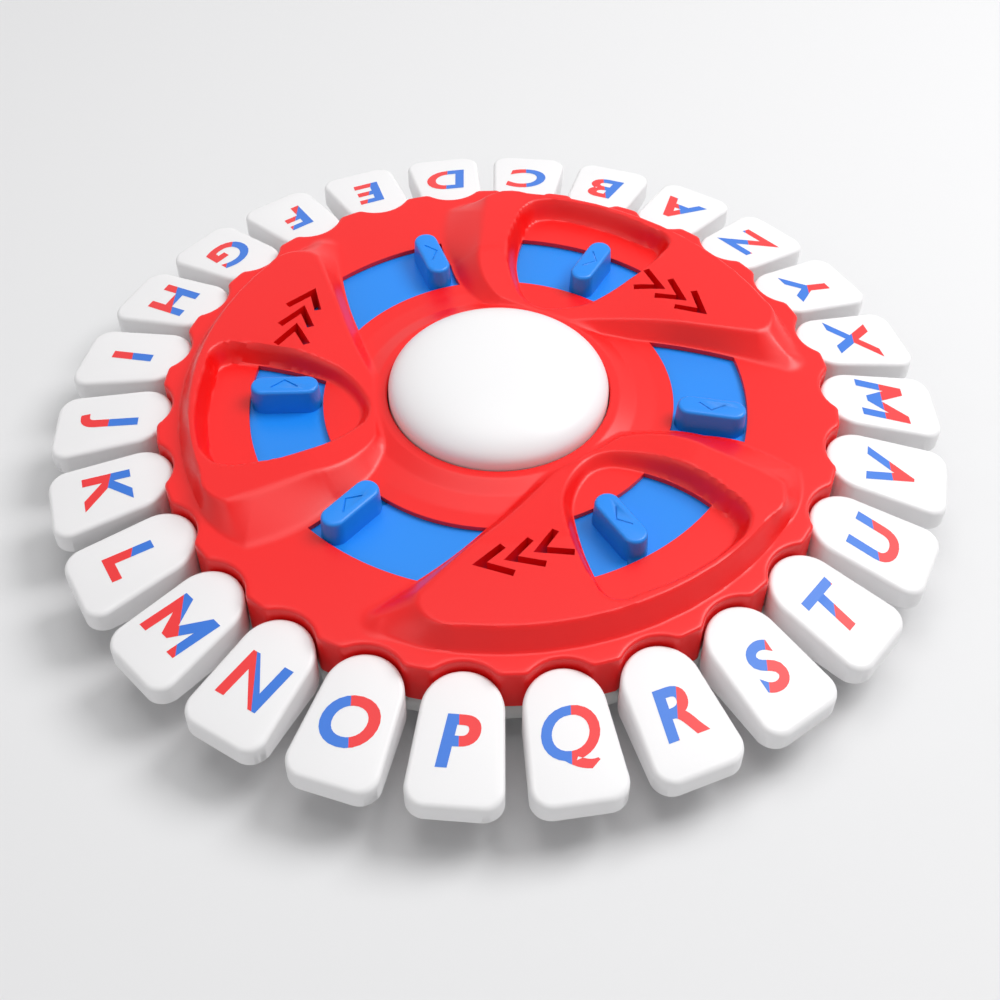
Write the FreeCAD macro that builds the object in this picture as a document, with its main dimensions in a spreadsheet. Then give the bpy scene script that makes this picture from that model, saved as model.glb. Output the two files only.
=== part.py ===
import FreeCAD, Part
import math
import os
import re

import Sketcher
from FreeCAD import Placement, Rotation, Vector

# A round table-top word game: 26 letter keys round a moulded disc, a blue turning ring
# with six handles under the cover, and a large domed button in the middle.
# Millimetres and degrees. Z = 0 is the table, the board's axis is Z, the player sits at -Y.

SIZES = [
    # The ring of keys.
    ("key_count", 26, "keys round the board"),
    ("key_first_angle", 57.68, "where the first key of the alphabet lies, from +X"),
    ("key_tip_radius", 125.3, "board axis to the outer end of a key"),
    ("key_end_centre", 101.5, "board axis to the centre of a key's round inner end"),
    ("key_end_radius", 10.2, "radius of the round inner end"),
    ("key_tip_half_width", 11.8, "half the width of the outer end"),
    ("key_corner", 5.2, "corner radius of the outer end"),
    ("key_tip_top", 18.8, "top of a key at its outer end"),
    ("key_apex_top", 25.3, "top of a key at its inner end"),
    ("key_bottom", 13.0, "lower edge of a key"),
    ("key_wall", 1.8, "wall of the hollow key cap"),
    ("key_hollow_width", 15.0, "width of the hollow under the cap"),
    ("key_hollow_inset", 3.5, "round end's centre line to the hollow's inner end, less the wall"),
    # The levers and their pivots.
    ("pivot_radius", 84.0, "board axis to the pivot pins"),
    ("pivot_height", 15.0, "height of the pivot pins"),
    ("pin_radius", 1.5, "radius of a pivot pin"),
    ("pin_clearance", 0.05, "running clearance of a key on its pin"),
    ("lever_width", 5.0, "width of a key's lever"),
    ("lever_top", 17.0, "top of the lever where it passes the rim"),
    ("lever_bottom", 13.4, "underside of the lever outside its pin"),
    ("hub_top", 18.3, "top of the lever over its pin"),
    ("hub_reach", 2.6, "how far the lever's hub goes past the pin"),
    ("tail_end", 69.5, "board axis to the end of a lever's tail"),
    ("tail_length", 4.0, "flat top of the tail"),
    ("tail_top", 20.0, "top of the tail at rest"),
    ("lever_play", 0.6, "side play of a lever between two posts"),
    ("post_depth", 4.0, "radial depth of a post"),
    ("post_top", 17.2, "top of the posts"),
    # The rim of the housing.
    ("rim_radius", 94.5, "board axis to the rim between the keys"),
    ("rim_inner", 88.5, "inside of the rim"),
    ("scallop_gap", 0.5, "gap between a key's round end and the rim"),
    ("rim_edge", 0.8, "slanted edge round the top of the rim"),
    ("cusp_radius", 2.0, "rounding of the rim's cusps between two keys"),
    ("notch_width", 8.0, "width of the slot for a lever in the rim"),
    ("notch_top", 17.6, "top of that slot"),
    ("notch_bottom", 11.4, "bottom of that slot"),
    ("parting_height", 14.7, "joint between base and cover"),
    ("skirt_bottom", 9.3, "underside of the rim"),
    # The cover.
    ("deck_height", 28.0, "flat deck of the cover"),
    ("deck_wall", 1.4, "thickness of the deck"),
    ("track_inner", 48.8, "inner edge of the windows"),
    ("track_outer", 69.2, "outer edge of the windows"),
    ("hub_height", 30.5, "rim round the button"),
    ("hub_bore", 31.0, "radius of the opening for the button"),
    ("hub_collar", 2.0, "wall of the collar that guides the button"),
    ("hub_flat", 34.0, "outer edge of the flat round the button"),
    ("hub_step", 38.5, "foot of the cone round the button"),
    ("hub_step_height", 28.7, "height of that foot"),
    ("collar_bottom", 22.5, "lower end of the button's collar"),
    ("ring_collar_inner", 42.0, "inside of the collar that the turning ring runs on"),
    ("ring_collar_outer", 44.0, "outside of that collar"),
    ("ring_collar_bottom", 21.0, "lower end of that collar"),
    ("petal_height", 34.0, "top of the petals near the rim"),
    ("petal_shoulder", 58.0, "radius at which a petal reaches its full height"),
    ("petal_hub", 33.0, "radius at which the petals leave the hub"),
    ("petal_rim", 90.0, "radius at which the petals end at the rim"),
    ("petal_angle", 0.0, "turn of the petals from their drawn place"),
    ("petal_count", 3, "petals on the cover"),
    ("pocket_draft", 2.0, "how much wider a pocket is at its top than at its floor"),
    ("chevron_width", 2.0, "width of a chevron's strokes"),
    ("chevron_pitch", 6.9, "angle from one chevron to the next"),
    ("chevron_first", 26.1, "angle of the first chevron's tip"),
    ("chevron_tip_radius", 65.6, "board axis to the first chevron's tip"),
    ("chevron_drift", 1.9, "how much nearer the axis each further tip lies"),
    # The turning ring.
    ("ring_top", 26.4, "upper face of the turning ring"),
    ("ring_thickness", 2.4, "thickness of its plate"),
    ("ring_outer", 72.0, "outside radius of the ring"),
    ("ring_clearance", 0.06, "running clearance of the ring on its collar"),
    ("tooth_inner", 67.5, "inner end of the teeth that press the keys up"),
    ("tooth_bottom", 20.4, "underside of the teeth"),
    ("tooth_foot", 5.0, "width of a tooth at its lower end"),
    ("tooth_root", 8.0, "width of a tooth at the plate"),
    ("handle_top", 34.0, "top of the handles"),
    ("handle_inner", 49.3, "inner end of a handle"),
    ("handle_outer", 68.7, "outer end of a handle"),
    ("handle_radius", 3.8, "half the thickness of a handle"),
    ("handle_draft", 3.0, "draft angle of a handle"),
    ("handle_angle", -9.9, "where the first handle lies, from +X"),
    ("handle_step", 72.0, "from a handle in a low window to one in a petal"),
    # The button.
    ("button_radius", 30.7, "radius of the button's skirt"),
    ("button_top", 40.8, "top of the button"),
    ("button_edge", 31.0, "height at which the button's dome begins"),
    ("button_fullness", 2.3, "power of the dome's section, where 2 is an ellipse"),
    ("button_wall", 2.4, "wall of the button"),
    ("flange_radius", 32.6, "radius of the button's stop flange"),
    ("flange_height", 2.2, "height of that flange"),
    ("flange_gap", 0.1, "play of the flange under the collar"),
    ("stem_radius", 4.0, "radius of the button's stem"),
    ("stem_bottom", 25.0, "lower end of the stem"),
    # The base.
    ("floor_bottom", 2.0, "underside of the base"),
    ("floor_wall", 2.0, "wall of the base"),
    ("tub_radius", 84.0, "radius of the base under the rim"),
    ("foot_radius", 5.0, "radius of a foot"),
    ("foot_circle", 66.0, "board axis to the feet"),
    ("foot_count", 4, "feet"),
    # The carrier of the pins.
    ("carrier_outer", 86.5, "outside radius of the carrier"),
    ("carrier_rim", 1.0, "how far the carrier reaches in past the levers' tails"),
    ("carrier_wall", 1.4, "thickness of the carrier's plate"),
    ("rail_radius", 46.5, "inside radius of the rail under the turning ring"),
    ("rail_width", 2.0, "width of that rail"),
    ("rail_gap", 0.1, "play of the ring over its rail"),
    ("stop_gap", 0.1, "play of a key at rest over its stop"),
    # The screws.
    ("screw_circle", 77.0, "board axis to the case screws"),
    ("screw_radius", 1.1, "radius of a screw's shank"),
    ("screw_hole", 1.15, "radius of a screw's hole"),
    ("screw_head", 2.4, "radius of a screw's head"),
    ("screw_head_height", 1.8, "height of a screw's head"),
    ("screw_head_room", 0.3, "room round and under a screw's head"),
    ("screw_top", 22.0, "upper end of a screw"),
    ("door_head_height", 0.9, "height of the door screw's head"),
    ("boss_radius", 3.0, "radius of a screw boss"),
    # The battery box, its cells and its door.
    ("cell_radius", 5.25, "radius of a cell"),
    ("cell_length", 43.3, "length of a cell without its cap"),
    ("cell_cap_radius", 1.9, "radius of a cell's cap"),
    ("cell_cap_length", 1.2, "length of a cell's cap"),
    ("cell_spacing", 11.0, "distance between the two cells"),
    ("box_clearance", 0.3, "room round the cells"),
    ("box_wall", 1.5, "wall of the battery box"),
    ("contact_thickness", 0.5, "thickness of the contact plates"),
    ("door_thickness", 1.6, "thickness of the battery door"),
    ("door_ledge", 1.1, "ledge round the door"),
    ("door_gap", 0.2, "gap round the door"),
    ("tab_length", 8.0, "length of the door's screw tab"),
    ("tab_half_width", 4.0, "half the width of that tab"),
    # The electronics.
    ("board_length", 42.0, "length of the circuit board"),
    ("board_width", 34.0, "width of the circuit board"),
    ("board_bottom", 18.0, "underside of the circuit board"),
    ("board_thickness", 1.6, "thickness of the circuit board"),
    ("board_post_radius", 2.0, "radius of the posts under the board"),
    ("board_post_x", 19.0, "place of the posts along the cells"),
    ("board_post_y", 8.0, "place of the posts across the cells"),
    ("switch_size", 6.0, "side of the push switch"),
    ("switch_height", 1.4, "height of its case"),
    ("plunger_size", 3.0, "side of its plunger"),
    ("plunger_height", 0.5, "height of its plunger"),
    ("buzzer_radius", 5.0, "radius of the buzzer"),
    ("buzzer_height", 4.0, "height of the buzzer"),
    ("buzzer_place", 11.0, "board axis to the buzzer"),
    ("leaf_width", 5.0, "width of the leaf spring"),
    ("leaf_thickness", 0.4, "thickness of the leaf spring"),
    ("leaf_foot", 13.0, "half the length of the leaf spring"),
    ("leaf_bend", 8.0, "where its arch begins"),
    ("leaf_crest", 3.5, "half the length of its crest"),
    ("leaf_gap", 0.2, "play between the leaf spring and the stem"),
]

# The gaps between keys that have a case screw, counted from the first key.
SCREW_BAYS = (0, 6, 13, 19)
# The steps in which the button's section curves over from its edge to its middle.
DOME_STEPS = 6

# A petal's foot and its top edge, as (share of the way from hub to rim, angle) in the order
# of a walk round it. Every second point is the middle of an arc.
PETAL_FOOT = [
    (0.977, 8.0), (0.981, 48.0), (0.974, 88.0), (0.968, 95.8),
    (0.923, 101.3), (0.702, 104.6), (0.439, 104.6), (0.228, 103.0),
    (0.061, 95.0), (0.000, 72.0), (0.011, 50.0), (0.123, 37.0),
    (0.284, 26.5), (0.563, 15.5), (0.898, 5.5), (0.960, 5.2),
]
PETAL_TOP = [
    (0.900, 19.0), (0.900, 51.0), (0.912, 84.5), (0.919, 89.8),
    (0.870, 92.6), (0.667, 93.2), (0.439, 95.3), (0.228, 95.0),
    (0.088, 89.0), (0.035, 71.0), (0.046, 54.0), (0.158, 42.0),
    (0.340, 30.0), (0.563, 20.6), (0.807, 15.0), (0.877, 15.8),
]
# The floor of the pocket in a petal, in the same way.
POCKET_FLOOR = [
    (0.740, 50.6), (0.489, 51.0), (0.256, 54.3), (0.154, 60.5),
    (0.107, 68.0), (0.112, 74.0), (0.163, 79.3), (0.414, 84.6),
    (0.665, 83.6), (0.740, 83.0), (0.800, 81.3), (0.825, 79.0),
    (0.833, 75.0), (0.825, 65.5), (0.814, 56.0), (0.800, 51.8),
]
# The two strokes of a chevron, as (share of the tip's radius, angle from the tip) of their ends.
CHEVRON_ARMS = ((1.045, 7.4), (0.910, 5.2))

LETTERS = "abcdefghijklmnopqrstuvwxyz"

doc = FreeCAD.newDocument("word_game_board")
sheet = doc.addObject("Spreadsheet::Sheet", "sizes")
for row, (alias, number, meaning) in enumerate(SIZES, start=1):
    sheet.set(f"A{row}", meaning)
    sheet.set(f"B{row}", str(number))
    sheet.setAlias(f"B{row}", alias)
doc.recompute()

pieces = []


def amount(text):
    """The value of a formula such as 'deck_height - deck_wall', worked out by the sheet."""
    sheet.set("D1", "=" + text)
    sheet.recompute()
    return float(sheet.get("D1"))


def linked(text):
    """The same formula as an expression on the sheet's cells."""
    return re.sub(r"\b([a-z][a-z_]*)\b(?!\()", r"sizes.\1", text)


def bind(item, **formulas):
    """Ties properties of a document object to formulas on the sheet."""
    for name, text in formulas.items():
        item.setExpression(name.replace("__", "."), linked(text))
    return item


def keep(item, label):
    """Marks an object as a sub-part that is written out under its label."""
    item.Label = label
    pieces.append(item)
    return item


def new_body(name):
    return doc.addObject("PartDesign::Body", name)


def origin_feature(body, role):
    return next(part for part in body.Origin.OriginFeatures if part.Role == role)


def new_sketch(body, role, height=None, turn=None):
    """A sketch on an origin plane, raised and turned by formulas on the sheet."""
    sketch = body.newObject("Sketcher::SketchObject", body.Name + "_sketch")
    sketch.AttachmentSupport = (origin_feature(body, role), "")
    sketch.MapMode = "FlatFace"
    if height:
        sketch.setExpression("AttachmentOffset.Base.z", linked(height))
    if turn:
        sketch.AttachmentOffset = Placement(Vector(0, 0, 0), Rotation(Vector(0, 0, 1), 1))
        sketch.setExpression("AttachmentOffset.Rotation.Angle", linked(turn))
    return sketch


def polygon(sketch, corners):
    """A closed outline of straight lines whose corners are formulas on the sheet."""
    first = sketch.GeometryCount
    count = len(corners)
    spots = [Vector(amount(across), amount(up), 0) for across, up in corners]
    for index in range(count):
        sketch.addGeometry(Part.LineSegment(spots[index], spots[(index + 1) % count]))
    for index, (across, up) in enumerate(corners):
        line = first + index
        following = first + (index + 1) % count
        sketch.addConstraint(Sketcher.Constraint("Coincident", line, 2, following, 1))
        for kind, axis, text in (("DistanceX", -2, across), ("DistanceY", -1, up)):
            if abs(amount(text)) < 1e-9:
                sketch.addConstraint(Sketcher.Constraint("PointOnObject", line, 1, axis))
                continue
            number = sketch.addConstraint(
                Sketcher.Constraint(kind, -1, 1, line, 1, amount(text)))
            sketch.setExpression(f"Constraints[{number}]", linked(text))


def disc(sketch, across, radius, up="0"):
    """A circle whose centre and radius are formulas on the sheet."""
    centre = Vector(amount(across), amount(up), 0)
    circle = sketch.addGeometry(Part.Circle(centre, Vector(0, 0, 1), amount(radius)))
    for kind, axis, text in (("DistanceX", -2, across), ("DistanceY", -1, up)):
        if abs(amount(text)) < 1e-9:
            sketch.addConstraint(Sketcher.Constraint("PointOnObject", circle, 3, axis))
            continue
        number = sketch.addConstraint(
            Sketcher.Constraint(kind, -1, 1, circle, 3, amount(text)))
        sketch.setExpression(f"Constraints[{number}]", linked(text))
    number = sketch.addConstraint(Sketcher.Constraint("Radius", circle, amount(radius)))
    sketch.setExpression(f"Constraints[{number}]", linked(radius))


def turned(body, corners):
    """A full turn of an outline in the (radius, height) plane about Z."""
    sketch = new_sketch(body, "XZ_Plane")
    polygon(sketch, corners)
    turn = body.newObject("PartDesign::Revolution", body.Name + "_turn")
    turn.Profile = sketch
    turn.ReferenceAxis = (sketch, ["V_Axis"])
    turn.Angle = 360
    return turn


def padded(body, sketch, length, both_ways=False):
    pad = body.newObject("PartDesign::Pad", body.Name + "_pad")
    pad.Profile = sketch
    pad.Midplane = both_ways
    return bind(pad, Length=length)


def pocketed(body, sketch, length, both_ways=False):
    pocket = body.newObject("PartDesign::Pocket", body.Name + "_pocket")
    pocket.Profile = sketch
    pocket.Midplane = both_ways
    return bind(pocket, Length=length)


def repeated(body, feature, count):
    """Copies of a feature all the way round the Z axis."""
    pattern = body.newObject("PartDesign::PolarPattern", body.Name + "_round")
    pattern.Originals = [feature]
    pattern.Axis = (origin_feature(body, "Z_Axis"), [""])
    pattern.Angle = 360
    bind(pattern, Occurrences=count)
    body.Tip = pattern
    return pattern


def block(name, low, high):
    """A box between two corners given as formulas on the sheet."""
    item = doc.addObject("Part::Box", name)
    for side, axis, start, end in zip(("Length", "Width", "Height"), "xyz", low, high):
        item.setExpression("Placement.Base." + axis, linked(start))
        item.setExpression(side, linked(end) + " - (" + linked(start) + ")")
    return item


def rod(name, radius, bottom, top, across=0.0, along=0.0):
    """An upright cylinder between two heights given as formulas on the sheet."""
    item = doc.addObject("Part::Cylinder", name)
    item.Placement.Base = Vector(across, along, 0)
    bind(item, Radius=radius, Placement__Base__z=bottom)
    item.setExpression("Height", linked(top) + " - (" + linked(bottom) + ")")
    return item


def fused(name, items):
    item = doc.addObject("Part::MultiFuse", name)
    item.Shapes = items
    item.Refine = True
    return item


def cut(name, base, tools):
    item = doc.addObject("Part::Cut", name)
    item.Base = base
    item.Tool = tools[0] if len(tools) == 1 else fused(name + "_tools", tools)
    item.Refine = True
    return item


def around(radius, angle):
    """A point at a radius and an angle about the board's axis."""
    return radius * math.cos(math.radians(angle)), radius * math.sin(math.radians(angle))


upward = Vector(0, 0, 1)
pitch = 360.0 / amount("key_count")
first_key = amount("key_first_angle")
screw_spots = [around(amount("screw_circle"), first_key + pitch * (bay + 0.5))
               for bay in SCREW_BAYS]

# One letter key: a hollow cap, lower at its outer end, on a lever that snaps down over its
# pin and whose tail rests on the carrier. It is drawn along +X and copied to each place.
key_form = new_body("key_form")
outline = new_sketch(key_form, "XY_Plane", height="key_bottom")
end_centre = Vector(amount("key_end_centre"), 0, 0)
corner_centre = Vector(amount("key_tip_radius - key_corner"),
                       amount("key_tip_half_width - key_corner"), 0)
end_radius = amount("key_end_radius")
corner_radius = amount("key_corner")
between = corner_centre - end_centre
flank = (math.atan2(between.y, between.x)
         - math.asin((end_radius - corner_radius) / between.Length))
square = math.pi / 2 + flank
normal = Vector(math.cos(square), math.sin(square), 0)
flipped = Vector(normal.x, -normal.y, 0)
lower_corner = Vector(corner_centre.x, -corner_centre.y, 0)
tip_x = amount("key_tip_radius")
outline.addGeometry([
    Part.ArcOfCircle(Part.Circle(end_centre, upward, end_radius), square, 2 * math.pi - square),
    Part.LineSegment(end_centre + flipped * end_radius, lower_corner + flipped * corner_radius),
    Part.ArcOfCircle(Part.Circle(lower_corner, upward, corner_radius), -square, 0),
    Part.LineSegment(Vector(tip_x, lower_corner.y, 0), Vector(tip_x, corner_centre.y, 0)),
    Part.ArcOfCircle(Part.Circle(corner_centre, upward, corner_radius), 0, square),
    Part.LineSegment(corner_centre + normal * corner_radius, end_centre + normal * end_radius),
])
for index in range(6):
    outline.addConstraint(Sketcher.Constraint("Tangent", index, 2, (index + 1) % 6, 1))
outline.addConstraint(Sketcher.Constraint("PointOnObject", 0, 3, -1))
outline.addConstraint(Sketcher.Constraint("Symmetric", 2, 3, 4, 3, -1))
for constraint, text in (
        (Sketcher.Constraint("DistanceX", -1, 1, 0, 3, end_centre.x), "key_end_centre"),
        (Sketcher.Constraint("Radius", 0, end_radius), "key_end_radius"),
        (Sketcher.Constraint("Radius", 4, corner_radius), "key_corner"),
        (Sketcher.Constraint("DistanceX", -1, 1, 4, 3, corner_centre.x),
         "key_tip_radius - key_corner"),
        (Sketcher.Constraint("DistanceY", -1, 1, 4, 3, corner_centre.y),
         "key_tip_half_width - key_corner")):
    number = outline.addConstraint(constraint)
    outline.setExpression(f"Constraints[{number}]", linked(text))
outline.addConstraint(Sketcher.Constraint("Equal", 2, 4))
padded(key_form, outline, "key_apex_top + key_wall - key_bottom")
slope = new_sketch(key_form, "XZ_Plane")
polygon(slope, [
    ("key_end_centre - key_end_radius - key_wall", "key_apex_top"),
    ("key_end_centre - key_end_radius", "key_apex_top"),
    ("key_tip_radius", "key_tip_top"),
    ("key_tip_radius + key_wall", "key_tip_top"),
    ("key_tip_radius + key_wall", "key_apex_top + key_wall + key_wall"),
    ("key_end_centre - key_end_radius - key_wall", "key_apex_top + key_wall + key_wall"),
])
pocketed(key_form, slope, "key_tip_half_width + key_tip_half_width + key_wall", both_ways=True)
hollow = new_sketch(key_form, "XZ_Plane")
polygon(hollow, [
    ("key_end_centre - key_hollow_inset - key_wall", "key_bottom - key_wall"),
    ("key_end_centre - key_hollow_inset - key_wall", "key_apex_top - key_wall - key_wall"),
    ("key_tip_radius - key_wall", "key_tip_top - key_wall"),
    ("key_tip_radius - key_wall", "key_bottom - key_wall"),
])
pocketed(key_form, hollow, "key_hollow_width", both_ways=True)
lever = new_sketch(key_form, "XZ_Plane")
slot_low = "pivot_radius - pin_radius - pin_clearance"
slot_high = "pivot_radius + pin_radius + pin_clearance"
lever_root = "key_end_centre - key_end_radius + key_wall"
tail_bottom = "skirt_bottom + floor_wall + carrier_wall + stop_gap"
polygon(lever, [
    ("tail_end", tail_bottom),
    ("tail_end", "tail_top"),
    ("tail_end + tail_length", "tail_top"),
    ("pivot_radius - pin_radius - hub_reach", "hub_top"),
    ("pivot_radius + hub_reach", "hub_top"),
    ("rim_inner - pin_clearance", "lever_top"),
    (lever_root, "lever_top"),
    (lever_root, "lever_bottom"),
    (slot_high, "lever_bottom"),
    (slot_high, "pivot_height + pin_radius + pin_clearance"),
    (slot_low, "pivot_height + pin_radius + pin_clearance"),
    (slot_low, tail_bottom),
])
key_form.Tip = padded(key_form, lever, "lever_width", both_ways=True)
doc.recompute()

for place, letter in enumerate(LETTERS):
    key = doc.addObject("Part::Compound", "key_" + letter)
    key.Links = [key_form]
    key.Placement = Placement(Vector(0, 0, 0), Rotation(upward, first_key + pitch * place))
    key.setExpression("Placement.Rotation.Angle",
                      linked(f"key_first_angle + {place} * 360 / key_count"))
    keep(key, "key_" + letter)

# The scalloped rim that base and cover share: a band with a round bite for each key's inner
# end and a slot for its lever.
rim = new_body("rim_form")
turned(rim, [
    ("rim_inner", "skirt_bottom"),
    ("rim_radius", "skirt_bottom"),
    ("rim_radius", "deck_height - rim_edge"),
    ("rim_radius - rim_edge", "deck_height"),
    ("rim_inner", "deck_height"),
])
bite = new_sketch(rim, "XY_Plane", height="deck_height + rim_edge")
bite_radius = amount("key_end_radius + scallop_gap")
cusp_radius = amount("cusp_radius")
reach = amount("rim_radius - cusp_radius")
open_x = amount("rim_radius + rim_edge")
spread = (reach ** 2 + end_centre.x ** 2 - (bite_radius + cusp_radius) ** 2) / (2 * end_centre.x)
cusp_centre = Vector(spread, math.sqrt(reach ** 2 - spread ** 2), 0)
lean = math.atan2(cusp_centre.y, cusp_centre.x)
inward = end_centre - cusp_centre
meeting = math.atan2(inward.y, inward.x)
mouth = Vector(open_x, open_x * math.tan(lean), 0)
rounded = cusp_centre * ((reach + cusp_radius) / reach)
lower_cusp, lower_mouth, lower_round = [Vector(spot.x, -spot.y, 0)
                                        for spot in (cusp_centre, mouth, rounded)]
bite.addGeometry([
    Part.ArcOfCircle(Part.Circle(end_centre, upward, bite_radius),
                     meeting + math.pi, math.pi - meeting),
    Part.ArcOfCircle(Part.Circle(lower_cusp, upward, cusp_radius), -lean, -meeting),
    Part.LineSegment(lower_round, lower_mouth),
    Part.LineSegment(lower_mouth, mouth),
    Part.LineSegment(mouth, rounded),
    Part.ArcOfCircle(Part.Circle(cusp_centre, upward, cusp_radius), meeting, lean),
])
bite.addConstraint([
    Sketcher.Constraint("Tangent", 0, 2, 1, 2),
    Sketcher.Constraint("Tangent", 5, 1, 0, 1),
    Sketcher.Constraint("Coincident", 1, 1, 2, 1),
    Sketcher.Constraint("Coincident", 2, 2, 3, 1),
    Sketcher.Constraint("Coincident", 3, 2, 4, 1),
    Sketcher.Constraint("Coincident", 4, 2, 5, 2),
    Sketcher.Constraint("Symmetric", 3, 1, 3, 2, -1),
    Sketcher.Constraint("Symmetric", 1, 3, 5, 3, -1),
    Sketcher.Constraint("PointOnObject", 0, 3, -1),
    Sketcher.Constraint("PointOnObject", -1, 1, 4),
    Sketcher.Constraint("PointOnObject", 5, 3, 4),
    Sketcher.Constraint("PointOnObject", 1, 3, 2),
])
for constraint, text in (
        (Sketcher.Constraint("DistanceX", -1, 1, 0, 3, end_centre.x), "key_end_centre"),
        (Sketcher.Constraint("Radius", 0, bite_radius), "key_end_radius + scallop_gap"),
        (Sketcher.Constraint("Radius", 5, cusp_radius), "cusp_radius"),
        (Sketcher.Constraint("Distance", -1, 1, 5, 3, reach), "rim_radius - cusp_radius"),
        (Sketcher.Constraint("DistanceX", -1, 1, 3, 2, open_x), "rim_radius + rim_edge")):
    number = bite.addConstraint(constraint)
    bite.setExpression(f"Constraints[{number}]", linked(text))
bite_pocket = pocketed(rim, bite, "deck_height + rim_edge")
repeated(rim, bite_pocket, "key_count")
notch = new_sketch(rim, "XZ_Plane")
polygon(notch, [
    ("rim_inner - floor_wall", "notch_bottom"),
    ("rim_radius", "notch_bottom"),
    ("rim_radius", "notch_top"),
    ("rim_inner - floor_wall", "notch_top"),
])
notch_pocket = pocketed(rim, notch, "notch_width", both_ways=True)
repeated(rim, notch_pocket, "key_count")
rim.Placement = Placement(Vector(0, 0, 0), Rotation(Vector(0, 0, 1), first_key))


def rim_part(name, low, high):
    """The stretch of the rim between two heights."""
    item = doc.addObject("Part::MultiCommon", name)
    item.Shapes = [rim, rod(name + "_slab", "rim_radius + rim_edge", low, high)]
    item.Refine = True
    return item


def outline_wire(points, height, widening=0.0):
    """A closed wire of arcs through points given as (share from hub to rim, angle)."""
    hub, reach = amount("petal_hub"), amount("petal_rim - petal_hub")
    turn = amount("petal_angle")
    spots = [Vector(*around(hub + reach * share, angle + turn), height)
             for share, angle in points]
    middle = Vector(sum(spot.x for spot in spots), sum(spot.y for spot in spots), 0)
    middle = middle / len(spots) + Vector(0, 0, height)
    spots = [spot + (spot - middle).normalize() * widening for spot in spots]
    spots.append(spots[0])
    arcs = [Part.Arc(*spots[index:index + 3]).toShape() for index in range(0, len(points), 2)]
    return Part.Wire(arcs)


# One petal: a swirl that rises from the deck with slanted walls, with a sunk pocket whose
# floor opens on the turning ring, and three chevrons of two strokes cut through its tail.
deck_top, deck_under = amount("deck_height"), amount("deck_height - deck_wall")
crest = amount("petal_height")
foot = outline_wire(PETAL_FOOT, deck_top)
slanted = Part.makeLoft([foot, outline_wire(PETAL_TOP, crest)], True, True)
plinth_wire = outline_wire(PETAL_FOOT, deck_under)
plinth = Part.Face(plinth_wire).extrude(Vector(0, 0, deck_top - deck_under))
lid_profile = Part.makePolygon([
    Vector(0, 0, deck_under), Vector(0, 0, amount("hub_height")),
    Vector(amount("petal_hub"), 0, amount("hub_height")),
    Vector(amount("petal_shoulder"), 0, crest),
    Vector(amount("rim_radius"), 0, crest),
    Vector(amount("rim_radius"), 0, deck_under), Vector(0, 0, deck_under)])
lid = Part.Face(lid_profile).revolve(Vector(0, 0, 0), Vector(0, 0, 1), 360)
floor_wire = outline_wire(POCKET_FLOOR, deck_top)
brim_wire = outline_wire(POCKET_FLOOR, crest, amount("pocket_draft"))
sunk = Part.makeLoft([floor_wire, brim_wire], True, True)
track = Part.makeCylinder(amount("track_outer"), crest, Vector(0, 0, 0)).cut(
    Part.makeCylinder(amount("track_inner"), crest, Vector(0, 0, 0)))
window = Part.Face(floor_wire).extrude(Vector(0, 0, -2 * amount("deck_wall"))).common(track)


def stroke(start, end):
    """A straight slot of the chevrons' width from a tip to a plan point, through the cover."""
    width = amount("chevron_width")
    run = Vector(end[0] - start[0], end[1] - start[1], 0)
    slot = Part.makeBox(run.Length + width / 2, width, crest, Vector(-width / 2, -width / 2, 0))
    turn = math.degrees(math.atan2(run.y, run.x))
    slot.Placement = Placement(Vector(start[0], start[1], 0), Rotation(upward, turn))
    return slot


strokes = []
for row in range(3):
    angle = amount("chevron_first") + amount("petal_angle") + row * amount("chevron_pitch")
    tip_radius = amount(f"chevron_tip_radius - {row} * chevron_drift")
    for share, turn in CHEVRON_ARMS:
        strokes.append(stroke(around(tip_radius, angle), around(tip_radius * share, angle + turn)))
petal_shape = slanted.common(lid).fuse(plinth).cut([sunk, window] + strokes)

petals = []
for number in range(int(amount("petal_count"))):
    petal = doc.addObject("Part::Feature", f"petal_{number + 1}")
    petal.Shape = petal_shape.removeSplitter()
    turn = number * 360.0 / amount("petal_count")
    petal.Placement = Placement(Vector(0, 0, 0), Rotation(upward, turn))
    petals.append(petal)

# The cover: hub and deck turned about the axis, the rim, the petals and the screw bosses.
hub = new_body("hub_form")
turned(hub, [
    ("hub_bore", "collar_bottom"),
    ("hub_bore", "hub_height"),
    ("hub_flat", "hub_height"),
    ("hub_step", "hub_step_height"),
    ("ring_collar_outer", "deck_height"),
    ("track_inner", "deck_height"),
    ("track_inner", "deck_height - deck_wall"),
    ("ring_collar_outer", "deck_height - deck_wall"),
    ("ring_collar_outer", "ring_collar_bottom"),
    ("ring_collar_inner", "ring_collar_bottom"),
    ("ring_collar_inner", "deck_height - deck_wall"),
    ("hub_bore + hub_collar", "deck_height - deck_wall"),
    ("hub_bore + hub_collar", "collar_bottom"),
])
deck = new_body("deck_form")
turned(deck, [
    ("track_outer", "deck_height - deck_wall"),
    ("track_outer", "deck_height"),
    ("rim_inner + scallop_gap", "deck_height"),
    ("rim_inner + scallop_gap", "deck_height - deck_wall"),
])
cover_bosses = [rod(f"cover_boss_{index}", "boss_radius",
                    "skirt_bottom + floor_wall + carrier_wall", "deck_height - rim_edge", *spot)
                for index, spot in enumerate(screw_spots)]
cover_holes = [rod(f"cover_hole_{index}", "screw_hole", "skirt_bottom",
                   "screw_top + rim_edge", *spot)
               for index, spot in enumerate(screw_spots)]
cover_solid = fused("cover_solid", [hub, deck, rim_part("cover_rim", "parting_height",
                                                        "deck_height + rim_edge")]
                    + petals + cover_bosses)
keep(cut("cover", cover_solid, cover_holes), "top_cover")

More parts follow.
